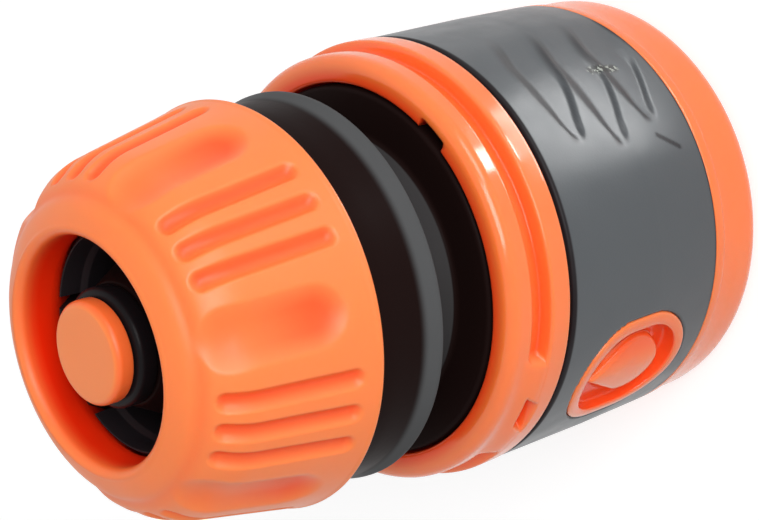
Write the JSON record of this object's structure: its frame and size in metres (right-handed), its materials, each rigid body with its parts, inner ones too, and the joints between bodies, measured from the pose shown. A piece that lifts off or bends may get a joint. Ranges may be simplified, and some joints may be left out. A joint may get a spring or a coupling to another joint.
{
  "type": "garden hose quick connector",
  "caption": "Garden hose quick connector with a screw-down hose nut, water stop valve, pull-back release sleeve and soft grip band.",
  "frame": {"origin": "on the axis, level with the release sleeve's end face on the tap side", "axes": "+Z along the axis from the tap side to the hose side; +X and +Y are two claw directions"},
  "size_m": [0.038, 0.038, 0.0593],
  "materials": {
    "orange_nut": "satin moulded plastic",
    "orange_sleeve": "satin moulded plastic",
    "orange_plunger": "satin moulded plastic",
    "black_body": "satin moulded plastic",
    "black_collet": "matt moulded plastic",
    "grey_grip": "soft matt elastomer",
    "black_seal": "moulded rubber",
    "spring_steel": "drawn stainless wire"
  },
  "bodies": {
    "body": {"hose_body": "black_body", "socket_barrel": "black_body", "barrel_o_ring": "black_seal", "retaining_ring": "spring_steel", "sleeve_spring": "spring_steel", "valve_spring": "spring_steel"},
    "sleeve": {"release_sleeve": "orange_sleeve", "grip_band": "grey_grip"},
    "valve": {"valve_plunger": "orange_plunger", "valve_seal": "black_seal", "valve_foot": "black_body"},
    "collet": {"gripping_collet": "black_collet"},
    "nut": {"hose_nut": "orange_nut"},
    "claw_1": {"claw_1": "black_collet"},
    "claw_2": {"claw_2": "black_collet"},
    "claw_3": {"claw_3": "black_collet"},
    "claw_4": {"claw_4": "black_collet"}
  },
  "joints": [
    {"name": "sleeve_slide", "type": "slide", "parent": "body", "child": "sleeve", "axis": [0, 0, 1], "range_m": [0, 0.005], "stiffness_N_per_m": 500, "springref_m": -0.006, "deforming": ["sleeve_spring"]},
    {"name": "valve_push", "type": "slide", "parent": "body", "child": "valve", "axis": [0, 0, 1], "range_m": [0, 0.004], "stiffness_N_per_m": 400, "springref_m": -0.005, "deforming": ["valve_spring"]},
    {"name": "collet_travel", "type": "slide", "parent": "body", "child": "collet", "axis": [0, 0, 1], "range_m": [0, 0.006]},
    {"name": "nut_turn", "type": "hinge", "parent": "collet", "child": "nut", "pos_m": [0, 0, 0.05], "axis": [0, 0, 1], "range_deg": [0, 722]},
    {"name": "claw_1_slide", "type": "slide", "parent": "body", "child": "claw_1", "axis": [1, 0, 0], "range_m": [0, 0.0012]},
    {"name": "claw_2_slide", "type": "slide", "parent": "body", "child": "claw_2", "axis": [0, 1, 0], "range_m": [0, 0.0012]},
    {"name": "claw_3_slide", "type": "slide", "parent": "body", "child": "claw_3", "axis": [-1, 0, 0], "range_m": [0, 0.0012]},
    {"name": "claw_4_slide", "type": "slide", "parent": "body", "child": "claw_4", "axis": [0, -1, 0], "range_m": [0, 0.0012]}
  ],
  "couplings": [
    {"joint": "nut_turn", "follows": "collet_travel", "rad_per_m": 2094.4},
    {"joint": "claw_1_slide", "follows": "sleeve_slide", "ratio": 0.24},
    {"joint": "claw_2_slide", "follows": "sleeve_slide", "ratio": 0.24},
    {"joint": "claw_3_slide", "follows": "sleeve_slide", "ratio": 0.24},
    {"joint": "claw_4_slide", "follows": "sleeve_slide", "ratio": 0.24}
  ]
}
